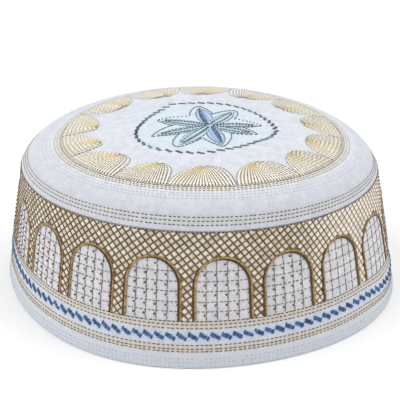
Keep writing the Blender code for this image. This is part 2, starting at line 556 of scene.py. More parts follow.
# Degrees from the front, each with a pillar's shift in degrees or an apex's height in mm
PILLAR_SHIFTS = ((-180.0, 0.0), (-39.0, 0.0), (-21.0, -0.4), (-3.0, 0.0), (15.0, 0.7),
                 (33.0, 0.8), (51.0, 0.3), (69.0, 2.5), (110.0, 3.0), (179.0, 0.0))
APEX_HEIGHTS = ((-180.0, 46.0), (-67.0, 46.8), (-31.0, 46.3), (6.0, 46.2), (42.0, 45.4),
                (62.0, 44.9), (179.0, 46.0))
PILLAR_HALF, ARCH_BASE, ARCH_SPRING = 2.95, 19.9, 34.7
DEGREE_MM = np.radians(1.0) * BAND_CHART_RADIUS
CHART_ROUND = 360.0 * DEGREE_MM

nominal = np.sort((ARCH_FIRST + ARCH_PITCH * np.arange(ARCH_COUNT) + 180.0) % 360.0 - 180.0)
pillars = (nominal + np.interp(nominal, *np.array(PILLAR_SHIFTS).T)) * DEGREE_MM
right_pillars = np.append(pillars[1:], pillars[0] + CHART_ROUND)
window_middle = 0.5 * (pillars + right_pillars)
window_half = 0.5 * (right_pillars - pillars) - PILLAR_HALF
window_apex = np.interp(window_middle / DEGREE_MM, *np.array(APEX_HEIGHTS).T)
print("window half widths:", np.round(window_half, 1))


def nearest_window(u):
    """Signed distance from the middle of the nearest window, its half width and its apex."""
    du = (u[..., None] - window_middle + 0.5 * CHART_ROUND) % CHART_ROUND - 0.5 * CHART_ROUND
    k = (np.abs(du) - window_half).argmin(axis=-1)
    return np.take_along_axis(du, k[..., None], axis=-1)[..., 0], window_half[k], window_apex[k]


def arch_distance(u, v):
    """How far a chart point lies inside the nearest arch, in mm; negative outside it.

    Below the springing it is the distance to the nearer leg. Above it, the point's
    distance from the centre of the half ellipse is measured against the ellipse:
    (1 - sqrt((du / half)^2 + (dv / rise)^2)) * mean radius.
    """
    du, half, apex = nearest_window(u)
    dv = np.maximum(v - ARCH_SPRING, 0.0)
    rise = apex - ARCH_SPRING
    reach = np.sqrt((du / half) ** 2 + (dv / rise) ** 2)
    return np.where(dv > 0.0, (1.0 - reach) * 0.5 * (half + rise), half - np.abs(du))


# %% [markdown]
# ## The band's cloth
#
# The band is a padded wall between two layers of cotton. Its outer face swells a little
# inside each window and sinks where lines of stitching pull it down, and its lower edge
# is a rolled hem. The whole wall is one closed loop of rows, turned round the cap.

# %% The band's relief
# Heights of the rows stitched round the band, and of those in the hem
LINE_ROWS = (7.15, 8.25, 9.9, 17.0, 18.6, 19.9)
HEM_ROWS = (0.9, 2.5, 4.1)
UPRIGHT_PITCH, USUAL_HALF = 4.4, 11.5
CROSS_HEIGHTS = (24.2, 28.2, 32.6, 36.7, 40.8)
LATTICE_HIGH = 56.2
AROUND, EDGE_ROUND = 480, 0.7
WINDOW_SWELL, BORDER_SWELL, HEM_RIPPLE = 0.35, 0.18, 0.06
GROUND_SINK, UPRIGHT_SINK, CROSS_SINK, ROW_SINK, SEAM_SINK, RIM_SINK = 0.1, 0.12, 0.1, 0.12, 0.1, 0.15


def upright_step(half):
    """Distance between a window's uprights, which grows with its half width."""
    return UPRIGHT_PITCH * half / USUAL_HALF


def band_relief(u, v):
    """How far the outer face stands off the plain cone, in mm: the windows and the blue
    border swell, lines of stitching sink, the hem ripples, and both edges turn in."""
    du, half, _ = nearest_window(u)
    step = upright_step(half)
    off_upright = (du + 2.0 * step) % step - 0.5 * step
    off_cross = np.abs(v[..., None] - np.array(CROSS_HEIGHTS)).min(axis=-1)
    inside = smoothstep(arch_distance(u, v) / 4.0) * smoothstep((v - ARCH_BASE) / 3.0)
    grid_sink = UPRIGHT_SINK * bell(off_upright, 0.9) + CROSS_SINK * bell(off_cross, 0.8)
    swell = inside * (WINDOW_SWELL - grid_sink) - GROUND_SINK
    swell = swell - ROW_SINK * sum(bell(v - row, 0.45) for row in LINE_ROWS)
    swell = swell + BORDER_SWELL * bell(v - 13.4, 2.4)
    swell = swell - SEAM_SINK * smoothstep(v - 55.4) - RIM_SINK * smoothstep((0.6 - v) / 0.6)
    return swell + HEM_RIPPLE * np.sin(u * 0.9) * bell(v - 3.0, 2.5)


def band_face(u, v):
    """Band chart with the relief: where the cloth's outer face really is."""
    return band(u, v, band_relief(u, v))


# %% The band's mesh
def wrapped_grid(rows):
    """Quads of a grid of rows closed round in its columns, facing out of the cap."""
    corner = np.arange(rows * AROUND).reshape(rows, AROUND)
    after = np.roll(corner, -1, axis=1)
    return np.stack([corner[:-1], after[:-1], after[1:], corner[1:]], -1).reshape(-1, 4)


def wrapped_uv(row_mm):
    """UV pairs in mm for wrapped_grid: distance round the cap, and distance up the rows."""
    column_mm = np.arange(AROUND + 1) * CHART_ROUND / AROUND
    left, right, low, high = np.broadcast_arrays(
        column_mm[:-1], column_mm[1:], row_mm[:-1, None], row_mm[1:, None])
    corners = ((left, low), (right, low), (right, high), (left, high))
    return np.stack([np.stack(pair, -1) for pair in corners], axis=2).reshape(-1, 2)


band_top = SEAM_HEIGHT - SEAM_GAP
outer_heights = np.concatenate([
    np.arange(EDGE_ROUND * 0.4, 20.5, 0.38), np.linspace(20.9, band_top - 1.5, 46),
    np.linspace(band_top - 1.2, band_top, 5)])
inner_heights = np.linspace(band_top, EDGE_ROUND, 12)
# The rolled rim under the wall: heights and offsets from the rim's radius
RIM_HEIGHTS, RIM_OFFSETS = (0.25, 0.0, 0.0, 0.08), (-2.5, -2.1, -0.5, -0.3)

round_u = np.linspace(0.0, CHART_ROUND, AROUND, endpoint=False)
u_grid, v_grid = np.meshgrid(round_u, outer_heights)
hidden_heights = np.concatenate([inner_heights, RIM_HEIGHTS])[:, None]
hidden_radii = np.concatenate(
    [band_radius(inner_heights) - BAND_THICKNESS, RIM_RADIUS + np.array(RIM_OFFSETS)])[:, None]
hidden_rows = turned(round_u / BAND_CHART_RADIUS + 0.0 * hidden_heights, hidden_radii, hidden_heights)
band_points = np.concatenate([band_face(u_grid, v_grid), hidden_rows]).reshape(-1, 3)

section_heights = np.concatenate([outer_heights, hidden_heights[:, 0], outer_heights[:1]])
section_radii = np.concatenate(
    [band_radius(outer_heights), hidden_radii[:, 0], band_radius(outer_heights[:1])])
section_mm = lengths_along(np.stack([section_radii, section_heights], -1))
band_quads = wrapped_grid(len(section_mm)) % len(band_points)

# %% Where thread tints the band's cloth
lattice_share = (smoothstep(0.5 - arch_distance(u_grid, v_grid))
                 * smoothstep((v_grid - ARCH_BASE + 0.3) / 0.6)
                 * smoothstep((LATTICE_HIGH - v_grid) / 0.6))
row_share = bell(v_grid - 8.4, 1.5) + bell(v_grid - 18.3, 1.6)
# The hem's share is painted shade: the cloth painted darker and cooler from about 6.6 mm down to the rim.
band_shares = {
    "gold_ground": lattice_share, "ivory_ground": row_share * (1 - lattice_share),
    "blue_ground": bell(v_grid - 13.6, 2.2), "hem_painted_shade": smoothstep(6.6 - v_grid)}
unseen = np.zeros((len(hidden_heights), AROUND))
band_values = {key: np.concatenate([share, unseen]) for key, share in band_shares.items()}
band_mesh = make_mesh("band_cotton", band_points, [band_quads], band_values, wrapped_uv(section_mm))
band_piece = add_piece("band_cotton", band_mesh, band_cotton)
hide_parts("side_band")

# %% [markdown]
# ## The crown's cloth
#
# The crown is a disc of quilted cotton, drawn over a form while damp so that its edge
# turns down to the band. Fourteen embroidered fans stand round it and lift the cloth a
# little. It is one closed shell: the outer face, a folded edge at the seam, and the
# inner face.

# %% The fans' places and the crown's relief
# Degrees from the front towards +X: the notch in the middle of each fan, and the gap after it
FAN_NOTCHES = (0.3, 26.0, 51.0, 74.0, 100.0, 126.4, 153.7, 179.1, 202.7, 232.0, 268.0, 293.0, 315.0, 338.5)
FAN_GAPS = (12.6, 38.6, 61.0, 87.2, 113.2, 140.0, 166.4, 190.9, 217.4, 246.9, 273.8, 298.2, 326.0, 347.5)
FAN_TIP, FAN_BASE = 49.5, 66.9
# Radii of the rows stitched round the crown
CROWN_ROWS = (82.8, 82.0, 81.2, 69.5, 68.2, 66.9)
FAN_SWELL, QUILT_RIPPLE, QUILT_PITCH = 0.3, 0.05, 2.4
CROWN_ROW_SINK, CROWN_EDGE_SINK = 0.14, 0.12
fan_angle, fan_gap = np.radians(FAN_NOTCHES), np.radians(FAN_GAPS)
fan_after = fan_gap - fan_angle
fan_before = (fan_angle - np.roll(fan_gap, 1)) % (2.0 * np.pi)


def fan_half(share, across):
    """Half width of a fan against its base at a share t from its tip to its base:
    (1 - (1 - t)^n)^(1/n), with n = 2 on the sloping left flank and 3.5 on the steep right."""
    power = np.where(across < 0.0, 2.0, 3.5)
    return np.clip(1.0 - (1.0 - share) ** power, 0.0, 1.0) ** (1.0 / power)


def fan_local(angle, radius):
    """Across, from -1 to 1, and share, from tip to base, of a point in the fan between
    the two gaps round it."""
    k = np.searchsorted(fan_gap, angle % (2.0 * np.pi)) % len(fan_gap)
    turn = (angle - fan_angle[k] + np.pi) % (2.0 * np.pi) - np.pi
    share = np.clip((radius - FAN_TIP) / (FAN_BASE - FAN_TIP), 0.0, 1.0)
    half = np.where(turn < 0.0, fan_before[k], fan_after[k])
    return turn / (half * np.maximum(fan_half(share, turn), 1e-6)), share


def fan_inside(angle, radius):
    """Share from 0 at a fan's outline to 1 at its middle line, and 0 outside it."""
    across, share = fan_local(angle, radius)
    inside = np.clip(1.0 - np.abs(across), 0.0, 1.0)
    return inside * (share > 0.0) * (radius <= FAN_BASE + 0.4)


def crown_relief(angle, radius):
    """How far the outer face stands off the plain profile, in mm: fans swell, stitched
    rings sink, faint quilting rings run between, and the edge turns in at the seam."""
    fans = smoothstep(fan_inside(angle, radius) * 3.0) * smoothstep((FAN_BASE - 0.3 - radius) / 1.5)
    stitched = sum(bell(radius - row, 0.45) for row in CROWN_ROWS)
    quilting = np.sin(radius * 2.0 * np.pi / QUILT_PITCH) * bell(radius - 43.0, 6.0)
    swell = FAN_SWELL * fans - CROWN_ROW_SINK * stitched + QUILT_RIPPLE * quilting
    return swell - CROWN_EDGE_SINK * smoothstep((radius - 83.1) / 0.9)


def crown_face(u, v):
    """Crown chart with the relief: where the cloth's outer face really is."""
    point, out = chart_frame(crown, u, v)
    return point + out * crown_relief(np.arctan2(u, -v), np.hypot(u, v))[..., None]


def towards_back(angle):
    """Share from 0 at the front to 1 at the back, where the embroidery is paler:
    sin(angle / 2)^2."""
    return np.sin(0.5 * angle) ** 2


# %% The crown's mesh
crown_radii = np.concatenate([
    np.linspace(83.9, 79.5, 16), np.linspace(78.9, 71.0, 14), np.linspace(70.5, 66.1, 18),
    np.linspace(65.7, 48.0, 40), np.linspace(47.0, 2.0, 40)])
inner_radii = np.concatenate([np.linspace(2.0, 76.0, 20), [79.0, 80.2, 80.9]])
ring_angle = np.linspace(0.0, 2.0 * np.pi, AROUND, endpoint=False)
angle_grid, radius_grid = np.meshgrid(ring_angle, crown_radii)
outer_shell = crown_face(*ring_plan(angle_grid, radius_grid))
inner_angle, inner_radius = np.meshgrid(ring_angle, inner_radii)
inner_height = crown_height(inner_radius) - CROWN_THICKNESS
inner_height[-2:] = np.minimum(inner_height[-2:], [[60.0], [SEAM_HEIGHT + 0.2]])
inner_shell = turned(inner_angle, inner_radius, inner_height)

# Rows run from the middle of the inner face out, round the edge, and back on the outer face
rows = len(inner_radii) + len(crown_radii)
pole_in = settle(np.array([[0.0, 0.0, CROWN_CENTRE_HEIGHT - CROWN_THICKNESS]]))
pole_out = crown(np.zeros(1), np.zeros(1))
crown_points = np.concatenate(
    [np.concatenate([inner_shell, outer_shell]).reshape(-1, 3), pole_in, pole_out])
first_row = np.arange(AROUND)


def pole_fan(row, pole):
    """Triangles from a closed row of points to the point in its middle."""
    return np.stack([row, np.roll(row, -1), np.full(AROUND, pole)], -1)


crown_faces = [wrapped_grid(rows), np.concatenate([
    pole_fan(first_row, rows * AROUND)[:, ::-1],
    pole_fan(first_row + (rows - 1) * AROUND, rows * AROUND + 1)])]
crown_uv = crown_points[np.concatenate([faces.ravel() for faces in crown_faces]), :2]

# %% Where thread tints the crown's cloth
across_grid, share_grid = fan_local(angle_grid, radius_grid)
in_fan = smoothstep(fan_inside(angle_grid, radius_grid) * 8.0)
amber = bell(across_grid + 0.4, 0.35) * bell(share_grid - 0.15, 0.3)
ring_share = 0.35 * bell(radius_grid - 68.2, 1.8) + 0.22 * bell(radius_grid - 82.0, 1.3)
gold_share = (ring_share + in_fan * (0.25 + 0.6 * amber)) * (1.0 - 0.7 * towards_back(angle_grid))
blue_share = 0.3 * smoothstep((35.0 - radius_grid) / 6.0) + 0.6 * bell(radius_grid, 18.0)
# Painted shade: the cloth is painted greyer from 71 mm out to the crown's turned-down edge.
edge_shade_share = 0.4 * smoothstep((radius_grid - 71.0) / 4.0)
inner_share = np.zeros(len(inner_radii) * AROUND)
# Each ground's shares on the outer face, and at its middle point
crown_shares = {
    "gold_ground": (gold_share, 0.0), "blue_ground": (blue_share, 0.9), "edge_painted_shade": (edge_shade_share, 0.0)}
crown_values = {key: np.concatenate([inner_share, share.ravel(), [0.0, at_pole]])
                for key, (share, at_pole) in crown_shares.items()}
crown_mesh = make_mesh("crown_cotton", crown_points, crown_faces, crown_values, crown_uv)
crown_piece = add_piece("crown_cotton", crown_mesh, crown_cotton)
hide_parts("crown")

# %% [markdown]
# ## The lattice
#
# Between the windows the ground is filled with two families of straight lines. They
# were sewn while the band was still a flat curved strip, so they are straight on the
# strip and seem to turn as the strip closes into a cone; at the back, where its ends
# meet, the lines do not match. The crossings come from solving two line equations at
# once for whole arrays of line numbers, so no line has to be followed step by step.

# %% The lattice's crossings
CONE_SLOPE = (RIM_RADIUS - SEAM_RADIUS) / SEAM_HEIGHT
CONE_SINE = CONE_SLOPE / np.hypot(1.0, CONE_SLOPE)
STRIP_ORIGIN = 470.0
RISING_TILT, RISING_PITCH = np.radians(36.97), 2.394
FALLING_TILT, FALLING_PITCH = np.radians(-50.87), 2.431
LATTICE_LOW = ARCH_BASE + 0.2
# Degrees from the front, then how many pitches the rising and the falling lines have drifted
LATTICE_DRIFT = (
    (-180, 0.95, 0.85), (-60, 1.28, 1.24), (-50, 1.16, 1.24), (-42, 1.01, 1.17), (-34, 0.99, 0.98),
    (-26, 0.96, 0.84), (-18, 0.96, 0.75), (-4, 0.90, 0.77), (8, 0.98, 0.88), (22, 0.93, 0.88),
    (30, 0.97, 0.78), (38, 1.05, 0.54), (43, 1.08, 0.46), (50, 1.10, 0.70), (58, 1.10, 0.90),
    (180, 0.95, 0.85))


def strip_to_chart(x, y):
    """Band chart point of a point on the flat strip, whose rings are arcs round (0, origin):
    the distance from there gives the height, and the turn, divided by the cone's sine,
    gives the angle round the cap."""
    length, turn = np.hypot(x, y - STRIP_ORIGIN), np.arctan2(x, STRIP_ORIGIN - y)
    height = (RIM_RADIUS - length * CONE_SINE) / CONE_SLOPE
    return turn / CONE_SINE * BAND_CHART_RADIUS, height


def straight_crossing(i, j):
    """Where falling line number i meets rising line number j on the flat strip: the
    solution of -x sin t + y cos t = pitch * number for the two tilts t."""
    near, far = FALLING_PITCH * i, RISING_PITCH * j
    turn = np.sin(RISING_TILT - FALLING_TILT)
    x = (far * np.cos(FALLING_TILT) - near * np.cos(RISING_TILT)) / -turn
    y = (far * np.sin(FALLING_TILT) - near * np.sin(RISING_TILT)) / -turn
    return strip_to_chart(x, y)


def crossing(i, j):
    """Chart point of a crossing, with the small drift of the sewn lines: the straight
    crossing gives the angle, the angle gives how far each family has drifted."""
    degrees, rising_share, falling_share = np.array(LATTICE_DRIFT, float).T
    angle = straight_crossing(i, j)[0] / DEGREE_MM
    return straight_crossing(i + np.interp(angle, degrees, falling_share),
                             j + np.interp(angle, degrees, rising_share))


def in_lattice(u, v, margin):
    """True where a chart point lies on the lattice and a margin away from every arch."""
    return (arch_distance(u, v) < -margin) & (v > LATTICE_LOW) & (v < LATTICE_HIGH)


# %% The lattice's lines
numbers = np.arange(-140.0, 140.0)
i_all, j_all = (a.ravel() for a in np.meshgrid(numbers, numbers))
cell_u, cell_v = crossing(i_all + 0.5, j_all + 0.5)
once = (np.abs(cell_u) < 0.5 * CHART_ROUND) & (cell_v > 15.0) & (cell_v < 60.0)
i_all, j_all, cell_u, cell_v = i_all[once], j_all[once], cell_u[once], cell_v[once]
print("lattice cells:", len(i_all))


def lattice_segments(step_i, step_j, trim):
    """Ends of the line pieces between crossings (i, j) and (i + step_i, j + step_j), each
    shortened by a share at both ends: a step in i follows a rising line, a step in j a
    falling one."""
    u0, v0 = crossing(i_all, j_all)
    u1, v1 = crossing(i_all + step_i, j_all + step_j)
    kept = in_lattice(0.5 * (u0 + u1), 0.5 * (v0 + v1), 0.5)
    u0, v0, u1, v1 = u0[kept], v0[kept], u1[kept], v1[kept]
    du, dv = trim * (u1 - u0), trim * (v1 - v0)
    low, high = LATTICE_LOW, LATTICE_HIGH + 0.3
    return u0 + du, np.clip(v0 + dv, low, high), u1 - du, np.clip(v1 - dv, low, high)


def right_flank(u):
    """Share from 0 at the front to 1 on the right flank, where the lines are finer, the
    cells fuller, and the cells painted paler: painted light on the cap's brighter side."""
    return smoothstep((u / DEGREE_MM - 25.0) / 20.0) * (u < 0.4 * CHART_ROUND)


rising = lattice_segments(1, 0, 0.05)
falling = lattice_segments(0, 1, 0.0)
rising_set = stitches(band_face, *rising, width=0.46 - 0.3 * right_flank(rising[0]), rise=0.3, sink=0.0)
falling_set = stitches(band_face, *falling, width=0.44 - 0.1 * right_flank(falling[0]), rise=0.28, sink=0.0)
sew("lattice_rising_lines", "olive_rayon", [rising_set])
sew("lattice_falling_lines", "brown_rayon", [falling_set])

# %% [markdown]
# ### The ivory cells
#
# Each diamond is a little pad of ivory satin stitch. A low pillow with eight points round
# it and a raised middle is enough for a shape 2 mm across.

# %% The ivory cells
PAD_RIM = np.array([(1.0, 0.0), (0.56, 0.56), (0.0, 1.0), (-0.56, 0.56), (-1.0, 0.0), (-0.56, -0.56),
                    (0.0, -1.0), (0.56, -0.56)])
SHOULDER, SHOULDER_LIFT = 0.66, 0.8
PAD_HEIGHT, EDGE_MARGIN = 0.3, 0.3


def keep_in_lattice(u, v, middle_u, middle_v):
    """Pulls cell points back towards the cell's middle, along the straight line between
    them, until they lie outside every arch and between the lattice's two edges."""
    middle_depth, depth = arch_distance(middle_u, middle_v), arch_distance(u, v)
    too_near = depth > -EDGE_MARGIN
    share = (-EDGE_MARGIN - middle_depth) / np.where(too_near, depth - middle_depth, 1e9)
    share = np.where(too_near, np.clip(share, 0.0, 1.0), 1.0)
    u, v = middle_u + share * (u - middle_u), middle_v + share * (v - middle_v)
    return u, np.clip(v, LATTICE_LOW, LATTICE_HIGH)


def pads(chart, i, j, reach, height):
    """Pillows on lattice cells. A rim point is centre + reach (a e1 + b e2), where e1 and
    e2 are the cell's half diagonals; a second ring at 0.66 of that stands 0.8 of the
    height, and the middle the whole height above the cloth."""
    u, v = (a[:, None] for a in crossing(i + 0.5, j + 0.5))
    right_u, right_v = (a[:, None] for a in crossing(i + 1.0, j + 1.0))
    top_u, top_v = (a[:, None] for a in crossing(i, j + 1.0))
    flat_u = PAD_RIM[:, 0] * (right_u - u) + PAD_RIM[:, 1] * (top_u - u)
    flat_v = PAD_RIM[:, 0] * (right_v - v) + PAD_RIM[:, 1] * (top_v - v)
    levels = []
    for scale, lift in ((reach, -0.1), (reach * SHOULDER, SHOULDER_LIFT * height)):
        point, out = chart_frame(chart, *keep_in_lattice(u + scale * flat_u, v + scale * flat_v, u, v))
        levels.append(point + out * lift)
    point, out = chart_frame(chart, u, np.clip(v, LATTICE_LOW, LATTICE_HIGH))
    points = np.concatenate([*levels, point + out * height, point - out * 0.15], axis=1)
    around = np.arange(len(PAD_RIM))
    following = np.roll(around, -1)
    sides, top, each = len(around), 2 * len(around), points.shape[1]
    quads = np.stack([around, following, following + sides, around + sides], -1)
    caps = np.concatenate([
        np.stack([around + sides, following + sides, np.full(sides, top)], -1),
        np.stack([following, around, np.full(sides, top + 1)], -1)])
    first = (np.arange(len(u)) * each)[:, None, None]
    pad_uv = np.concatenate([PAD_RIM, PAD_RIM * SHOULDER, np.zeros((2, 2))]) + 1.0
    # Cells on the right flank are painted paler: painted light on the cap's brighter side
    tone = np.clip(chance.uniform(0.0, 0.8, len(u)) + 0.55 * right_flank(u[:, 0]), 0.0, 1.0)
    return {
        "points": points.reshape(-1, 3),
        "quads": (quads + first).reshape(-1, 4),
        "triangles": (caps + first).reshape(-1, 3),
        "tone": np.repeat(tone, each),
        "quad_uv": np.tile(pad_uv[quads.ravel()], (len(u), 1)),
        "cap_uv": np.tile(pad_uv[caps.ravel()], (len(u), 1)),
    }


padded = ((arch_distance(cell_u, cell_v) < -0.5)
          & (cell_v < LATTICE_HIGH + 0.7) & (cell_v > LATTICE_LOW - 0.7))
pad_reach = 0.88 + 0.12 * right_flank(cell_u[padded])[:, None]
cells = pads(band_face, i_all[padded], j_all[padded], pad_reach, PAD_HEIGHT)
sew("lattice_ivory_cells", "ivory_rayon", [cells])

# %% [markdown]
# ## The arch cords
#
# Each arch is outlined in gold satin stitch: threads laid side by side across a narrow
# padded line, which stands up from the cloth like a cord. A dark brown line was sewn
# first and the gold one a little to the right of it, so the brown shows on the left of
# each leg and under the apex.


# %% Arch paths and cords
def arch_path(middle, half, apex, shift_u, shift_v, steps=96):
    """Chart points up the left leg, over the half ellipse and down the right leg."""
    leg = np.linspace(ARCH_BASE, ARCH_SPRING, steps // 3)
    turn = np.linspace(np.pi, 0.0, steps // 2)
    u = np.concatenate([np.full(len(leg), -half), half * np.cos(turn)[1:-1], np.full(len(leg), half)])
    v = np.concatenate([leg, ARCH_SPRING + (apex - ARCH_SPRING) * np.sin(turn)[1:-1], leg[::-1]])
    return middle + u + shift_u, v + shift_v


def swept_cords(chart, paths_u, paths_v, width, height, lift, tone):
    """Cords along chart paths: an elliptical section carried along each path, its
    direction the difference of the path's neighbouring points."""
    point, out = chart_frame(chart, paths_u, paths_v)
    centre = point + out * lift
    direction = unit(np.gradient(centre, axis=1))
    taper = np.ones(centre.shape[1])
    taper[[0, -1]] = 0.0
    taper[[1, -2]] = 0.7
    return tubes(centre, direction, out, 0.5 * width * taper, 0.5 * height * taper, tone)


windows = list(zip(window_middle, window_half, window_apex))
# Name, thread, shift round and up in mm, width, height, lift off the cloth, range of tones
ARCH_LINES = (
    ("arch_gold_cords", "gold_rayon", (0.3, 0.15), 1.0, 0.75, 0.3, (0.15, 0.95)),
    ("arch_brown_lines", "brown_rayon", (-0.58, -0.42), 0.95, 0.6, 0.24, (0.0, 0.7)),
)
for name, thread, shift, width, height, lift, tones in ARCH_LINES:
    paths_u, paths_v = np.array([arch_path(*window, *shift) for window in windows]).transpose(1, 0, 2)
    paths_v = np.maximum(paths_v, ARCH_BASE)
    tone = chance.uniform(*tones, paths_u.shape)
    cords = swept_cords(band_face, paths_u, paths_v, width, height, lift, tone)
    sew(name, thread, [cords])

# %% [markdown]
# ## The windows' grid
#
# Four upright lines and five rows of dashes divide each window, with a small dark knot
# a little to the left of each crossing and below it. The grid is made window by window,
# as each has its own width and height. On the right flank the knots are left out.

# %% The windows' grid
KNOT_HEIGHTS, TOP_KNOT_HEIGHT = (22.7, 26.8, 31.1, 35.2, 39.4), 43.6
KNOT_SHIFT, UPRIGHT_SHIFT = 0.75, -0.3
KNOT_HALF, KNOT_LEAN = 0.42, 0.08
# Degrees from the front between which a window has no knots
KNOTLESS = (33.0, 110.0)
UPRIGHTS = (-1.5, -0.5, 0.5, 1.5)


def arch_top(du, half, apex):
    """Height of the arch over a distance from the window's middle."""
    return ARCH_SPRING + (apex - ARCH_SPRING) * np.sqrt(np.clip(1.0 - (du / half) ** 2, 0.0, 1.0))


def upright(window, k):
    """Dashes of one upright, which wavers a little and ends just under the arch."""
    middle, half, apex = window
    du = k * upright_step(half) + UPRIGHT_SHIFT
    v = np.linspace(ARCH_BASE + 0.4, arch_top(du, half, apex) - 0.7, 30)
    u = middle + du + 0.08 * np.sin(v * 0.5 + k + middle)
    return running_stitches(band_face, u, v, pitch=2.2, share=0.98, width=0.38, rise=0.2, sink=0.0)


def cross_row(window, height):
    """Dashes across a window at a height, as long as the arch leaves room for."""
    middle, half, apex = window
    share = np.clip((height - ARCH_SPRING) / (apex - ARCH_SPRING), 0.0, 1.0)
    reach = half * np.sqrt(1.0 - share ** 2) - 0.8
    u = middle + np.linspace(-reach, reach, 30)
    return running_stitches(
        band_face, u, 0.0 * u + height, pitch=1.85, share=0.8, width=0.36, rise=0.16, sink=0.0)


def window_knots(window):
    """Chart points of a window's knots, those too near the arch left out, and the one
    that stands alone under the apex."""
    middle, half, apex = window
    step, shift = upright_step(half), UPRIGHT_SHIFT - KNOT_SHIFT
    points = [(middle + k * step + shift, height) for k in (*UPRIGHTS, 2.6) for height in KNOT_HEIGHTS
              if height < arch_top(k * step, half, apex) - 2.6]
    return points + [(middle + 0.5 * step + shift - 0.3, TOP_KNOT_HEIGHT)]


# %% Sewing the windows
upright_sets, cross_sets, knot_points = [], [], []
for window in windows:
    upright_sets += [upright(window, k) for k in UPRIGHTS]
    cross_sets += [cross_row(window, height) for height in CROSS_HEIGHTS]
    if not KNOTLESS[0] < window[0] / DEGREE_MM < KNOTLESS[1]:
        knot_points += window_knots(window)
knot_u, knot_v = np.array(knot_points).T
knots = stitches(band_face, knot_u, knot_v - KNOT_HALF, knot_u + KNOT_LEAN, knot_v + KNOT_HALF,
                 width=1.0, rise=0.36, sink=0.05)
sew("window_uprights", "olive_rayon", upright_sets)
sew("window_cross_rows", "grey_rayon", cross_sets)
sew("window_knots", "tan_rayon", [knots])

# %% [markdown]
# ## Rows of running stitch
#
# Rows of small dashes edge the borders on the band and the crown, and the seam. Three
# pale rows hold the hem, and three more run round the crown outside the fans. Each row
# is one path round the cap, cut into even dashes.


# %% Rows on the band and the crown
def band_row(height, pitch, share, width):
    """A row of dashes round the band at one height."""
    u = np.linspace(0.0, CHART_ROUND, 721)
    return running_stitches(band_face, u, 0.0 * u + height, pitch, share, width)


def crown_row(radius, pitch, share, width, fading=0.5):
    """A row of dashes round the crown at one distance from the axis, paler and thinner
    towards the back."""
    path = ring_plan(np.linspace(0.0, 2.0 * np.pi, 721), radius)
    ends = dash_ends(crown_face, *path, pitch, share)
    back = towards_back(np.arctan2(ends[0], -ends[1]))
    tone = chance.uniform(0.0, 0.7 * (1.0 - back)) + back
    rise = 0.22 - 0.1 * back.mean()
    return stitches(crown_face, *ends, width * (1.0 - fading * back), rise, sink=0.06, tone=tone)


# %% Sewing the rows
# Name, thread, slot, kind of row, heights or radii, then the dashes' pitch, share and width,
# and for some rows on the crown how much they fade
ROWS = (
    ("band_tan_rows", "tan_rayon", "tan_thread", band_row, LINE_ROWS[:-1], (1.97, 0.76, 0.44)),
    ("arch_base_row", "brown_rayon", "gold_thread", band_row, (ARCH_BASE,), (1.9, 0.9, 0.42)),
    ("seam_row", "brown_rayon", "gold_thread", band_row, (LATTICE_HIGH,), (1.7, 0.86, 0.62)),
    ("crown_edge_rows", "tan_rayon", "tan_thread", crown_row, CROWN_ROWS[:3], (1.9, 0.74, 0.42)),
    ("fan_base_rows", "olive_rayon", "gold_thread", crown_row, CROWN_ROWS[3:5], (1.75, 0.7, 0.42, 0.8)),
    ("fan_foot_row", "brown_rayon", "gold_thread", crown_row, CROWN_ROWS[5:], (1.75, 0.92, 0.5, 0.9)),
    ("hem_rows", "shaded_white_rayon", "band_cloth", band_row, HEM_ROWS, (1.9, 0.5, 0.4)),
    ("crown_white_rows", "shaded_white_rayon", "crown_cloth", crown_row, (71.6, 73.3, 75.0), (1.75, 0.6, 0.34)),
)
for name, thread, slot, row, places, settings in ROWS:
    sew(name, thread, [row(place, *settings) for place in places])

# %% [markdown]
# ## The blue border
#
# A row of small blue steps runs round the band: five short slanting bars stand side by
# side, each a little lower than the one before, and then the next group starts again at
# the top.

# %% The blue border
STEP_GROUPS, STEP_BARS = 126, 5
FIRST_BAR_HEIGHT, BAR_DROP = 14.6, 0.45
# A group is 4.6 parts long: its first bar stands at 0.35 parts, the others 0.8 further on each
FIRST_BAR, BAR_STEP, GROUP_PARTS = 0.35, 0.8, 4.6
BAR_LEAN, BAR_REACH = 0.34, 0.98
group_pitch = CHART_ROUND / STEP_GROUPS
group = np.arange(STEP_GROUPS)[:, None]
bar = np.arange(STEP_BARS)
bar_u = (group_pitch * (group + (FIRST_BAR + BAR_STEP * bar) / GROUP_PARTS)).ravel()
bar_v = np.tile(FIRST_BAR_HEIGHT - BAR_DROP * bar, STEP_GROUPS)
bar_low, bar_high = chance.normal(BAR_REACH, 0.14, (2, len(bar_u)))
bars = stitches(band_face, bar_u + BAR_LEAN, bar_v + bar_high, bar_u - BAR_LEAN, bar_v - bar_low,
                width=0.9, rise=0.2, sink=0.02)
sew("blue_border", "navy_rayon", [bars])

# %% [markdown]
# ## The fans
#
# Each fan is a padded shell of curved threads that spread from its tip to its base:
# raised ivory threads with fine olive dashes between each two. The threads are evenly
# spaced along the base. The outermost ones bend as the outline does, and the middle
# ones run nearly straight.

# %% The fans
FAN_THREADS = 21
NOTCH_DEPTH, NOTCH_SHARE, RAY_POWER = 2.6, 0.2, 0.7
# Shares of a thread's length where it has its points, closer together near the tip
THREAD_SHARES = np.append(np.linspace(0.02, 0.97, 13) ** 1.5, [0.985, 1.0])


def fan_plan(k, across, share):
    """Plan point in fan k: across runs from -1 to 1 over its width, share from tip to base.

    The angle from the fan's middle line is across * half angle * bend. bend blends from
    share^0.7 on the middle line to the outline's own curve at the edges, by across^2. A
    bell curve draws the tip in at the middle, which leaves two lobes.
    """
    half = np.where(across < 0.0, fan_before[k], fan_after[k]) * 0.98
    tip = FAN_TIP + NOTCH_DEPTH * bell(across, NOTCH_SHARE)
    bend = across ** 2 * fan_half(share, across) + (1.0 - across ** 2) * share ** RAY_POWER
    angle = fan_angle[k] + across * half * bend
    return ring_plan(angle, tip + (FAN_BASE - 0.4 - tip) * share)


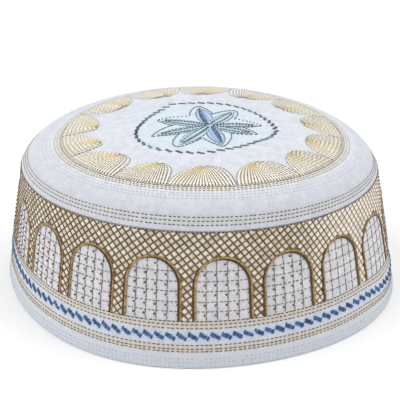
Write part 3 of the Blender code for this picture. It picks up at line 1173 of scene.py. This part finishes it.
def base_across(k, position):
    """Across, from -1 to 1, of a thread at a position, from 0 to 1, along fan k's base. The
    threads are evenly spaced there, though the notch is not in the fan's middle."""
    turn = position * (fan_before + fan_after)[k] - fan_before[k]
    return turn / np.where(turn < 0.0, fan_before[k], fan_after[k])


# %% The fans' raised threads
fan_column = np.arange(len(fan_angle))[:, None]
across_each = base_across(fan_column, (np.arange(FAN_THREADS - 1) + 0.5) / (FAN_THREADS - 1))
fan_k, ivory_across = (a.ravel()[:, None] for a in np.broadcast_arrays(fan_column, across_each))
ivory_u, ivory_v = fan_plan(fan_k, ivory_across, THREAD_SHARES)
base_width = (fan_before + fan_after)[fan_k] * FAN_BASE
spacing = base_width * THREAD_SHARES ** 0.5 / (FAN_THREADS - 1)
amber_share = bell(ivory_across + 0.4, 0.35) * bell(THREAD_SHARES - 0.1, 0.35)
ivory_tone = chance.uniform(0.75, 1.0, (len(fan_k), 1)) * (
    1.0 - (0.9 - 0.4 * towards_back(fan_angle[fan_k])) * amber_share)
thread_width = np.clip(0.72 * spacing, 0.3, 1.1)
ivory_threads = swept_cords(
    crown_face, ivory_u, ivory_v, thread_width, height=0.5, lift=0.1, tone=ivory_tone)
sew("fan_ivory_threads", "amber_rayon", [ivory_threads])


# %% The fans' dashes
def fan_dashes(k, across):
    """Dashes between two threads of fan k: dark on its right and in front, paler on its
    left and near the tip, and towards the back darker in the fan's middle."""
    back = towards_back(fan_angle[k])
    path = fan_plan(k, np.array(across), THREAD_SHARES)
    ends = dash_ends(crown_face, *path, pitch=1.9, share=0.74)
    radius = np.hypot(ends[0], ends[1])
    tone = 0.75 - 0.3 * across - 0.65 * smoothstep((radius - 53.0) / 6.0) * (1.0 - back)
    tone = tone - 0.5 * back * bell(across, 0.45)
    tone = np.clip(tone + chance.normal(0.0, 0.12, len(radius)), 0.0, 1.0)
    return stitches(crown_face, *ends, width=0.38 - 0.1 * back, rise=0.24, sink=-0.06, tone=tone)


dash_places = np.linspace(0.0, 1.0, FAN_THREADS)
sew("fan_dashes", "fan_rayon",
    [fan_dashes(k, across) for k in range(len(fan_angle)) for across in base_across(k, dash_places)])

# %% [markdown]
# ## The blue ring and the flower
#
# A ring of slanting blue satin bars surrounds an eight-petalled flower in the middle.
# Each bar is a row of short threads laid side by side across it, a slim parallelogram.
# The ring was guided by hand and is not quite round, so its radius is given in a few
# directions and the rest is read between them.

# %% The blue ring
RING_CENTRE = (1.8, -0.3)
# Degrees counted from +X towards +Y, with the ring's radius in mm, or the tone of its bars, which is
# painted sheen and shade round the ring
RING_RADII = (
    (-173, 32.5), (-161, 34.2), (-147, 35.8), (-129, 36.8), (-111, 35.4), (-94, 34.6), (-75, 31.1),
    (-58, 30.0), (-41, 29.7), (-24, 32.0), (-7, 33.2), (4, 32.3), (24, 31.2), (43, 31.8), (73, 34.3),
    (94, 34.5), (106, 35.1), (117, 36.9), (132, 32.4), (149, 30.6), (170, 30.5))
RING_SHEEN_TONES = (
    (-178, 0.15), (-165, 0.05), (-152, 0.15), (-143, 0.4), (-133, 0.75), (-120, 0.55), (-108, 0.4),
    (-80, 0.1), (-55, 0.3), (-25, 0.6), (-5, 0.3), (15, 0.2), (30, 0.45), (60, 0.8), (80, 0.4),
    (110, 0.15), (132, 0.35), (148, 0.6), (168, 0.5))
RING_BARS, RING_TURN, RING_THREADS = 46, np.radians(24.0), 5
THREAD_STEP, THREAD_HALF = 0.78, 0.8


def read_round(table, degrees):
    """Value of a table of (degrees, value) pairs in a direction, read between its rows."""
    known, values = np.array(table).T
    return np.interp(degrees, known, values, period=360.0)


bar_degrees = (np.arange(RING_BARS) * 360.0 / RING_BARS)[:, None]
bar_radius, bar_turn = read_round(RING_RADII, bar_degrees), np.radians(bar_degrees)
heading = np.radians(bar_degrees + 90.0) - RING_TURN
offset = (np.arange(RING_THREADS) - 0.5 * (RING_THREADS - 1)) * THREAD_STEP
thread_u = RING_CENTRE[0] + bar_radius * np.cos(bar_turn) + offset * np.cos(heading)
thread_v = RING_CENTRE[1] + bar_radius * np.sin(bar_turn) + offset * np.sin(heading)
cross_u, cross_v = -THREAD_HALF * np.sin(heading), THREAD_HALF * np.cos(heading)
# The bars' tone is painted sheen and shade by direction, with a little random spread
bar_sheen_tone = read_round(RING_SHEEN_TONES, bar_degrees) + chance.normal(0.0, 0.14, thread_u.shape)
ring_bars = stitches(
    crown_face, thread_u - cross_u, thread_v - cross_v, thread_u + cross_u, thread_v + cross_v,
    width=0.66, rise=0.3, sink=0.0, tone=np.clip(bar_sheen_tone, 0.0, 1.0).ravel())
sew("blue_ring", "slate_rayon", [ring_bars])

# %% [markdown]
# ### The flower
#
# Each petal has an outer outline in long dark dashes, an inner one in finer dashes with
# a pale line beside it, and a core of short threads that slant to both sides of its
# middle line. One side of the core is darker, as if the petal were folded. Where two
# petals overlap, their outer outlines stop.

# %% The flower
FLOWER_CENTRE = (3.5, 0.0)
# Direction in degrees from +X towards +Y, lengths in mm, 1 where the left side of the core
# is the dark one or -1 for the right, and how much of each outline its dashes cover
PETAL_COLUMNS = "direction length left_half right_half dark_side left_share right_share tip_power"
Petal = namedtuple("Petal", PETAL_COLUMNS)
PETALS = [Petal(*row) for row in (
    (100.7, 29.3, 7.1, 5.2, 1, 0.94, 0.94, 0.55), (60.0, 26.0, 7.7, 5.6, 1, 0.94, 0.94, 0.5),
    (4.6, 25.0, 10.0, 2.6, 1, 0.5, 0.9, 0.8), (-24.4, 24.4, 6.5, 5.2, 1, 0.9, 0.55, 0.8),
    (-77.5, 27.5, 7.6, 7.0, 1, 0.94, 0.94, 0.8), (-118.5, 31.0, 4.8, 7.4, 1, 0.94, 0.94, 0.45),
    (-152.0, 30.2, 3.8, 9.2, -1, 0.55, 0.94, 0.8), (162.0, 26.4, 6.5, 10.5, -1, 0.94, 0.5, 0.8))]
OUTER_POWER, INNER_SHAPE = 0.75, 0.8
INNER_HALF, INNER_LENGTH, INNER_LIMIT, PALE_INSET = 3.8, 0.92, 0.8, 0.5
CORE_LENGTH, RUNG_PITCH = 0.86, 0.5
# Per colour of petal: half width of its core, tone of the core's dark side and of its pale side
CORES = {"blue": (2.1, 0.15, 0.75), "teal": (1.5, 0.85, 0.95)}
BLUE_PETALS = (PETALS[0], PETALS[4])
# Shares of a petal's length where its outlines have their points, closer near the tip
OUTLINE_SHARES = 1.0 - 0.88 * np.linspace(1.0, 0.0, 60) ** 1.6


def petal_plan(petal, along, side):
    """Plan point at a distance along a petal's middle line and to its left side."""
    turn = np.radians(petal.direction)
    return (FLOWER_CENTRE[0] + along * np.cos(turn) - side * np.sin(turn),
            FLOWER_CENTRE[1] + along * np.sin(turn) + side * np.cos(turn))


def outer_half(petal, share):
    """Outline's half width against its widest, sin(pi t^0.75)^n: widest before the middle,
    with a pointed tip for n = 0.8 and a round one for n = 0.5."""
    return np.sin(np.pi * np.clip(share, 0.0, 1.0) ** OUTER_POWER) ** petal.tip_power


def in_petal(petal, u, v):
    """True where a plan point lies inside a petal's outer outline."""
    turn = np.radians(petal.direction)
    du, dv = u - FLOWER_CENTRE[0], v - FLOWER_CENTRE[1]
    share = (du * np.cos(turn) + dv * np.sin(turn)) / petal.length
    side = dv * np.cos(turn) - du * np.sin(turn)
    half = np.where(side > 0.0, petal.left_half, petal.right_half) * outer_half(petal, share)
    return (share > 0.0) & (share < 1.0) & (np.abs(side) < half - 0.25)


# %% The lines and the core of one petal
def outlines(petal, sign, half, share):
    """Outer, inner and pale line on one side of a petal, the left for sign 1."""
    along, side = petal.length * OUTLINE_SHARES, half * outer_half(petal, OUTLINE_SHARES)
    path = petal_plan(petal, along, sign * side)
    ends = dash_ends(crown_face, *path, pitch=2.0, share=share, jitter=0.03)
    middle_u, middle_v = 0.5 * (ends[0] + ends[2]), 0.5 * (ends[1] + ends[3])
    others = [other for other in PETALS if other is not petal]
    free = ~np.any([in_petal(other, middle_u, middle_v) for other in others], axis=0)
    tone = chance.uniform(0.0, 0.3, int(free.sum()))
    outer = stitches(crown_face, *(end[free] for end in ends), width=0.5, rise=0.28, sink=0.02, tone=tone)
    along = petal.length * INNER_LENGTH * OUTLINE_SHARES
    side = np.minimum(INNER_HALF * np.sin(np.pi * OUTLINE_SHARES) ** INNER_SHAPE, INNER_LIMIT * half)
    path = petal_plan(petal, along, sign * side)
    inner = running_stitches(crown_face, *path, pitch=2.0, share=0.95, width=0.36, rise=0.26, sink=0.02)
    path = petal_plan(petal, along, sign * (side - PALE_INSET))
    ends = dash_ends(crown_face, *path, pitch=0.9, share=0.9)
    tone = chance.uniform(0.7, 1.0, len(ends[0]))
    return outer, inner, stitches(crown_face, *ends, width=0.7, rise=0.22, sink=0.05, tone=tone)


def core_side(petal, sign, colour):
    """Slanting threads on one side of a petal's core, and the dark line along them, which
    the pale side of a blue petal lacks."""
    core_half, dark_tone, pale_tone = CORES[colour]
    dark = sign == petal.dark_side
    core_length = petal.length * CORE_LENGTH
    rungs = np.arange(1.5, core_length, RUNG_PITCH)
    reach = core_half * np.sin(np.pi * rungs / core_length) ** 0.7 + 0.15
    starts = petal_plan(petal, rungs + 0.5, 0.0 * rungs)
    stops = petal_plan(petal, rungs - 0.3, sign * reach)
    tone = (dark_tone if dark else pale_tone) + chance.normal(0.0, 0.14, len(rungs))
    tone = np.clip(tone, 0.0, 1.0)
    threads = stitches(crown_face, *starts, *stops, width=0.52, rise=0.3, sink=0.0, tone=tone)
    if colour == "blue" and not dark:
        return threads, []
    path = petal_plan(petal, rungs, sign * (0.7 if dark else 1.0) * reach)
    ends = dash_ends(crown_face, *path, pitch=1.5, share=0.8)
    width = 0.6 + 0.6 * abs(np.cos(np.radians(petal.direction))) if dark else 0.5
    tone = chance.uniform(0.0, 0.25, len(ends[0]))
    return threads, [stitches(crown_face, *ends, width, rise=0.4, sink=-0.1, tone=tone)]


# %% Sewing the flower
outer_sets, inner_sets, dark_sets = [], [], []
core_sets = {"teal": [], "blue": []}
for petal in PETALS:
    colour = "blue" if petal in BLUE_PETALS else "teal"
    for sign, half, share in ((1.0, petal.left_half, petal.left_share),
                              (-1.0, petal.right_half, petal.right_share)):
        outer, inner, pale = outlines(petal, sign, half, share)
        outer_sets.append(outer)
        inner_sets.append(inner)
        core_sets[colour].append(pale)
    for sign in (1.0, -1.0):
        threads, dark_line = core_side(petal, sign, colour)
        core_sets[colour].append(threads)
        dark_sets += dark_line
sew("petal_outlines", "slate_rayon", outer_sets + inner_sets + dark_sets)
sew("petal_cores_teal", "teal_rayon", core_sets["teal"])
sew("petal_cores_blue", "blue_rayon", core_sets["blue"])

# %% [markdown]
# ## The studio
#
# A wide pale floor, an even white surround and three very soft suns, two at the sides
# and a weak one behind, give the flat, clean light of a catalogue picture. The camera
# stands in front and looks down at about 24 degrees, far enough away that the round rim
# stays a calm oval.

# %% Floor
FLOOR_HALF, FLOOR_DROP = 6.0, 0.0002


def floor_material():
    """Pale painted board: matt, with a faint unevenness in its white."""
    material, tree, shader = new_material("painted_board", {"Roughness": 0.9, "Specular IOR Level": 0.1})
    place = node(tree, "ShaderNodeTexCoord").outputs["Object"]
    cloud = node(tree, "ShaderNodeTexNoise", {"Scale": 1.5, "Detail": 1.0}, {"Vector": place})
    tint = mixed(tree, cloud.outputs["Fac"], "#fbfbfb", "#ffffff")
    tree.links.new(tint, shader.inputs["Base Color"])
    return material


floor_mesh = bpy.data.meshes.new("floor")
corner_signs = np.array([(-1, -1), (1, -1), (1, 1), (-1, 1)])
floor_points = np.column_stack([corner_signs * FLOOR_HALF, np.full(4, -FLOOR_DROP)])
floor_mesh.from_pydata(floor_points.tolist(), [], [(0, 1, 2, 3)])
floor_mesh.materials.append(floor_material())
floor = placed("floor", floor_mesh)

# %% Surround and suns
SURROUND_STRENGTH, SUN_SOFTNESS = 0.4, 1.0
# Name, strength, and the direction that the light comes from
SUNS = (
    ("right_light", 1.45, (1.0, 0.0, 1.4)), ("left_light", 1.5, (-1.0, -0.15, 1.0)),
    ("back_light", 0.5, (0.0, 1.0, 0.9)))

scene = bpy.context.scene
scene.world = bpy.data.worlds.new("white_surround")
scene.world.use_nodes = True
surround = scene.world.node_tree.nodes["Background"]
surround.inputs["Color"].default_value = linear("#ffffff")
surround.inputs["Strength"].default_value = SURROUND_STRENGTH

for name, strength, direction in SUNS:
    lamp = bpy.data.lights.new(name, "SUN")
    lamp.energy, lamp.angle = strength, SUN_SOFTNESS
    placed(name, lamp).rotation_euler = Vector(direction).to_track_quat("Z", "Y").to_euler()

# %% Camera
ELEVATION, ROLL = np.radians(23.884), np.radians(0.483)
FOCAL_PIXELS, FRAME_PIXELS, SENSOR_WIDTH = 901.5, 400.0, 36.0
DISTANCE, TARGET, SIDE_STEP = 441.86, np.array([0.73, -0.09, 33.55]), -0.383
X_AXIS = np.array([1.0, 0.0, 0.0])
back = np.array([0.0, -np.cos(ELEVATION), np.sin(ELEVATION)])
right = np.cos(ROLL) * X_AXIS + np.sin(ROLL) * np.cross(back, X_AXIS)
up = np.cross(back, right)
eye = (TARGET + right * SIDE_STEP + back * DISTANCE) * MM
camera_data = bpy.data.cameras.new("camera")
camera_data.sensor_width = SENSOR_WIDTH
camera_data.lens = FOCAL_PIXELS / FRAME_PIXELS * SENSOR_WIDTH
camera_data.clip_start = 0.01
camera = placed("camera", camera_data)
camera.matrix_world = Matrix(np.vstack([np.column_stack([right, up, back, eye]), [0.0, 0.0, 0.0, 1.0]]))
scene.camera = camera
scene.view_settings.view_transform = "Standard"
print("lights:", len(SUNS), "camera distance in mm:", DISTANCE)
